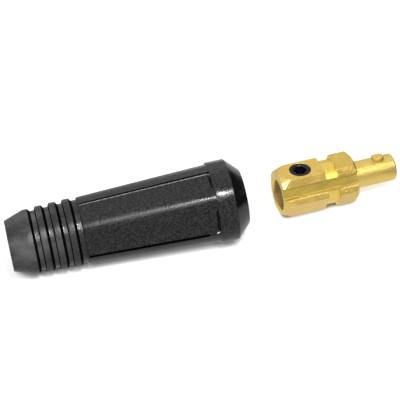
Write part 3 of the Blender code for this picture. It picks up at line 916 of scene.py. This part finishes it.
def finish_sleeve(sleeve, group):
    """Satin rubber, with painted shade in its recesses, pale upper pad edges that are wear and a
    painted highlight, and a painted glint at one corner.
    """
    for name, specular, roughness, polish, shades in (
            ("moulded_rubber", 0.42, 0.30, 0.12, (0.0008, 0.023, 0.10)),
            # Painted shade: near black and with almost no reflection
            ("painted_shade_rubber", 0.01, 0.60, 0.0, (0.0008, 0.002, 0.003)),
            # Pale edge rubber: wear and a painted highlight
            ("worn_highlight_rubber", 0.50, 0.35, 0.0, (0.12, 0.26, 0.26)),
            # Glossy floor rubber placed where the light falls: a painted highlight
            ("groove_rubber", 0.75, 0.19, 0.0, (0.0008, 0.020, 0.05)),
            # Near-white spot: a painted glint
            ("glint_spot_rubber", 0.50, 0.35, 0.0, (0.70, 0.85, 0.85))):
        sleeve.data.materials.append(
            rubber_material(name, group, specular, roughness, polish, shades))
    back = lying_place().inverted()
    for face in sleeve.data.polygons:
        spot = back @ face.center
        if math.hypot(spot.y, spot.z) < MOUTH_RADIUS:
            continue
        degrees = math.degrees(math.atan2(spot.z, spot.y))
        if BODY_START + BODY_EDGE < spot.x < BODY_END:
            face.material_index = body_finish(spot.x, degrees)
        else:
            face.material_index = ring_finish(spot.x, degrees)


def brass_material(name, group, stretch, scale, roughness, rich, pale, slant=0.0, grit=0.2):
    """Bare brass with cutting or drawing marks stretched one way, faint stains and pits."""
    made, tree, shader, along = start_material(
        name, Vector((-REST_STATION, 0, HEX_FLATS / 2)), Vector((0, 0, math.radians(slant))))
    cut = marks(tree, group, along, stretch=stretch, scale=scale, detail=3.0, low=0.25, high=0.75)
    stain = marks(tree, group, along, stretch=(0.6, 1, 1), scale=260.0, detail=4.0,
                  low=0.35, high=0.7)
    pits = marks(tree, group, along, scale=2200.0, detail=3.0, low=0.3, high=0.7)
    colour = tint(tree, stain, rich, pale)
    pitted = between(tree, pits, PIT_SHARE, 0.0)
    colour = tint(tree, pitted, colour, tuple(Vector(rich) * PIT_SHADE))
    tree.links.new(colour, shader.inputs["Base Color"])
    rough = between(tree, stain, roughness - 0.04, roughness + 0.06)
    tree.links.new(rough, shader.inputs["Roughness"])
    normal = bumped(tree, [(pits, grit, 0.08 * MM), (cut, 0.35, 0.015 * MM)])
    tree.links.new(normal, shader.inputs["Normal"])
    shader.inputs["Metallic"].default_value = 1.0
    return made


def oxide_material(group):
    """Black oxide steel with worn grey specks."""
    made, tree, shader, along = start_material(
        "black_oxide", Vector((SCREW_STATION - REST_STATION, 0, HEX_FLATS)), Vector((0, 0, 0)))
    grain = marks(tree, group, along, scale=3000.0, detail=3.0, low=0.3, high=0.7)
    worn = marks(tree, group, along, scale=700.0, detail=3.0, low=0.55, high=0.8)
    colour = tint(tree, grain, (0.010, 0.010, 0.012), (0.022, 0.022, 0.025))
    colour = tint(tree, between(tree, worn, 0.0, 0.4), colour, (0.06, 0.06, 0.065))
    tree.links.new(colour, shader.inputs["Base Color"])
    tree.links.new(between(tree, grain, 0.32, 0.45), shader.inputs["Roughness"])
    tree.links.new(bumped(tree, [(grain, 0.3, 0.02 * MM)]), shader.inputs["Normal"])
    shader.inputs["Metallic"].default_value = 0.6
    return made


def contact_finish(face):
    """Finish of one of the contact's faces, by where it lies and which way it looks."""
    centre = face.center - Vector((0, 0, HEX_FLATS / 2))
    station = centre.x + REST_STATION
    keyway = Vector((0, *polar(1.0, KEYWAY_ANGLE)))
    across = centre.dot(Vector((0, *polar(1.0, KEYWAY_ANGLE + 90))))
    depth = HEX_FLATS / 2 - centre.dot(keyway)
    half = KEYWAY_WIDTH / 2
    around = math.degrees(math.atan2(centre.z, centre.y))
    lengthwise = abs(face.normal.x) < LEANING
    from_bore = math.hypot(centre.y, centre.z + BORE_DROP) - BORE_RADIUS
    if from_bore < SLIVER and station < BORE_DEPTH + BORE_RADIUS:
        return BORED
    # Pale corner patch on the chamfer: a painted highlight
    if (CORNER_START < around < CORNER_END and face.normal.x < -LEANING
            and CABLE_FACE_INSET < station < CABLE_CHAMFER_LENGTH):
        return GLINT_CORNER
    if (lengthwise and half - HEX_EDGE < across < half + KEYWAY_BEVEL + HEX_EDGE
            and depth < KEYWAY_BEVEL + HEX_EDGE
            and LEANING < face.normal.dot(keyway) < BEVEL_FACING):
        return FILED
    if (lengthwise and abs(across) < half + KEYWAY_BEVEL
            and SLIVER < depth < KEYWAY_DEPTH + WELD and station < HEX_LENGTH):
        return MILLED
    if (BARREL_LENGTH < station < GROOVE_END
            and math.hypot(centre.y, centre.z) < GROOVE_RADIUS + WELD):
        return GROOVE
    if abs(face.normal.x) < TRUE_FLAT and centre.dot(face.normal) > HEX_FLATS / 2 - FLAT_DEPTH:
        return FLANGE if station > GROOVE_END else DRAWN
    return TURNED


def finish_contact(contact, group):
    """Drawn flats, milled keyway, a pale corner patch that is a painted highlight, and turned rest,
    each its own finish.
    """
    finishes = (
        brass_material("turned_brass", group, (9.0, 0.5, 0.5), 900.0, 0.38,
                       (0.86, 0.63, 0.17), (0.94, 0.69, 0.21), grit=0.7),
        brass_material("drawn_brass", group, (0.12, 2.0, 2.0), 900.0, 0.32,
                       (0.82, 0.56, 0.13), (0.92, 0.63, 0.18), grit=0.5),
        brass_material("milled_brass", group, (3.0, 1.5, 0.6), 700.0, 0.32,
                       (0.68, 0.50, 0.10), (0.76, 0.56, 0.12)),
        brass_material("filed_brass", group, (5.0, 0.4, 0.4), 700.0, 0.40,
                       (0.68, 0.51, 0.12), (0.96, 0.73, 0.25), slant=40.0, grit=0.4),
        brass_material("bored_brass", group, (6.0, 0.6, 0.6), 900.0, 0.55,
                       (0.82, 0.62, 0.24), (0.90, 0.70, 0.30)),
        brass_material("groove_brass", group, (9.0, 0.5, 0.5), 900.0, 0.40,
                       (0.92, 0.67, 0.13), (0.95, 0.72, 0.19), grit=0.3),
        brass_material("flange_brass", group, (0.12, 2.0, 2.0), 900.0, 0.34,
                       (0.76, 0.535, 0.12), (0.87, 0.61, 0.15), grit=0.6),
        # Pale corner patch: a painted highlight
        brass_material("glint_corner_brass", group, (9.0, 0.5, 0.5), 900.0, 0.34,
                       (0.95, 0.80, 0.36), (1.0, 0.90, 0.50), grit=0.6))
    for finish in finishes:
        contact.data.materials.append(finish)
    for face in contact.data.polygons:
        face.material_index = contact_finish(face)


def finish_screw(screw, group):
    """Black oxide all over."""
    screw.data.materials.append(oxide_material(group))


def place_camera():
    """Camera at the photo's angle, far off with a long lens."""
    azimuth = math.radians(CAMERA_AZIMUTH)
    elevation = math.radians(CAMERA_ELEVATION)
    roll = math.radians(CAMERA_ROLL)
    ahead = Vector((-math.sin(azimuth) * math.cos(elevation),
                    math.cos(azimuth) * math.cos(elevation), -math.sin(elevation)))
    right = Vector((math.cos(azimuth), math.sin(azimuth), 0))
    up = right.cross(ahead)
    right, up = (math.cos(roll) * right + math.sin(roll) * up,
                 math.cos(roll) * up - math.sin(roll) * right)
    data = bpy.data.cameras.new("camera")
    data.sensor_width = CAMERA_SENSOR
    data.lens = CAMERA_LENS
    data.clip_start = CAMERA_NEAR
    camera = bpy.data.objects.new("camera", data)
    turn = Matrix((right, up, -ahead)).transposed().to_4x4()
    camera.matrix_world = Matrix.Translation(CAMERA_TARGET - ahead * CAMERA_DISTANCE) @ turn
    bpy.context.scene.collection.objects.link(camera)
    bpy.context.scene.camera = camera


def soft_light(name, place, aim, width, depth, watts):
    """Rectangular soft light aimed at a point."""
    data = bpy.data.lights.new(name, "AREA")
    data.shape = "RECTANGLE"
    data.size = width
    data.size_y = depth
    data.energy = watts
    light = bpy.data.objects.new(name, data)
    light.location = place
    light.rotation_euler = (Vector(aim) - Vector(place)).to_track_quat("-Z", "Y").to_euler()
    bpy.context.scene.collection.objects.link(light)


def surroundings():
    """World: white to the camera and even on matt surfaces.

    In reflections it is bright behind, duller in front and at the far back, and dark at the right.
    """
    world = bpy.data.worlds.new("surroundings")
    bpy.context.scene.world = world
    world.use_nodes = True
    tree = world.node_tree
    coordinates = node(tree, "ShaderNodeTexCoord")
    x, y = axes(tree, coordinates.outputs["Generated"])
    mirrored = ranged(tree, y, *SKY_FRONT_TO_BACK)
    mirrored = combined(tree, "MULTIPLY", mirrored, ranged(tree, x, *SKY_TO_RIGHT))
    mirrored = combined(tree, "MULTIPLY", mirrored, ranged(tree, y, *SKY_FAR_BACK))
    path = node(tree, "ShaderNodeLightPath")
    level = blended(tree, path.outputs["Is Glossy Ray"], SKY_ON_MATT, mirrored)
    level = blended(tree, path.outputs["Is Camera Ray"], level, 1.0)
    background = tree.nodes["Background"]
    background.inputs["Color"].default_value = (1, 1, 1, 1)
    tree.links.new(level, background.inputs["Strength"])


def white_paper():
    """Floor: white with the object's shadow for the camera, darkest where a piece touches it.

    In reflections it is white, apart from a dark front right and a dimmer left under the sleeve,
    which is a painted shade.
    """
    paper = bpy.data.materials.new("white_paper")
    paper.use_nodes = True
    tree = paper.node_tree
    shader = tree.nodes["Principled BSDF"]
    path = node(tree, "ShaderNodeLightPath")
    touch = node(tree, "ShaderNodeAmbientOcclusion", {"Distance": SHADOW_REACH},
                 samples=SHADOW_SAMPLES)
    clear = ranged(tree, touch.outputs["AO"], *SHADOW_FADE)
    lift = between(tree, clear, 0.0, PAPER_LIFT)
    lift = combined(tree, "MULTIPLY", lift, path.outputs["Is Camera Ray"])
    tree.links.new(tint(tree, clear, PAPER_SHADE, PAPER_WHITE), shader.inputs["Base Color"])
    tree.links.new(lift, shader.inputs["Emission Strength"])
    shader.inputs["Emission Color"].default_value = (1, 1, 1, 1)
    shader.inputs["Roughness"].default_value = 1.0
    shader.inputs["Specular IOR Level"].default_value = 0.0

    coordinates = node(tree, "ShaderNodeTexCoord")
    x, y = axes(tree, coordinates.outputs["Object"])
    level = combined(tree, "MAXIMUM", ranged(tree, x, *PAPER_TO_RIGHT),
                     ranged(tree, y, *PAPER_BEHIND))
    # Dimmer under the sleeve in reflections: a painted shade
    level = combined(tree, "MULTIPLY", level, ranged(tree, x, *PAPER_UNDER_SLEEVE))
    mirrored = node(tree, "ShaderNodeEmission")
    tree.links.new(level, mirrored.inputs["Strength"])
    mix = node(tree, "ShaderNodeMixShader")
    tree.links.new(path.outputs["Is Glossy Ray"], mix.inputs["Fac"])
    tree.links.new(shader.outputs["BSDF"], mix.inputs[1])
    tree.links.new(mirrored.outputs["Emission"], mix.inputs[2])
    tree.links.new(mix.outputs["Shader"], tree.nodes["Material Output"].inputs["Surface"])
    return paper


def light_scene():
    """Softboxes and a lamp above the camera, plain surroundings and a white paper floor."""
    bpy.context.scene.view_settings.view_transform = "Standard"
    surroundings()
    for light in LIGHTS:
        soft_light(*light)
    bm = bmesh.new()
    bmesh.ops.create_grid(bm, x_segments=1, y_segments=1, size=PAPER_HALF_SIDE)
    floor = new_piece("floor", bm)
    floor.data.materials.append(white_paper())


place_camera()
light_scene()

surface_marks = marks_group()
for make, sharp_angle, finish, cad_node, body in (
        (make_sleeve, SLEEVE_SHARP, finish_sleeve, "rubber_sleeve", "plug"),
        (make_contact, CONTACT_SHARP, finish_contact, "brass_contact", "plug"),
        (make_set_screw, SCREW_SHARP, finish_screw, "set_screw", "screw")):
    piece = make()
    soften(piece, sharp_angle)
    finish(piece, surface_marks)
    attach(piece, body)
    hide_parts(cad_node)
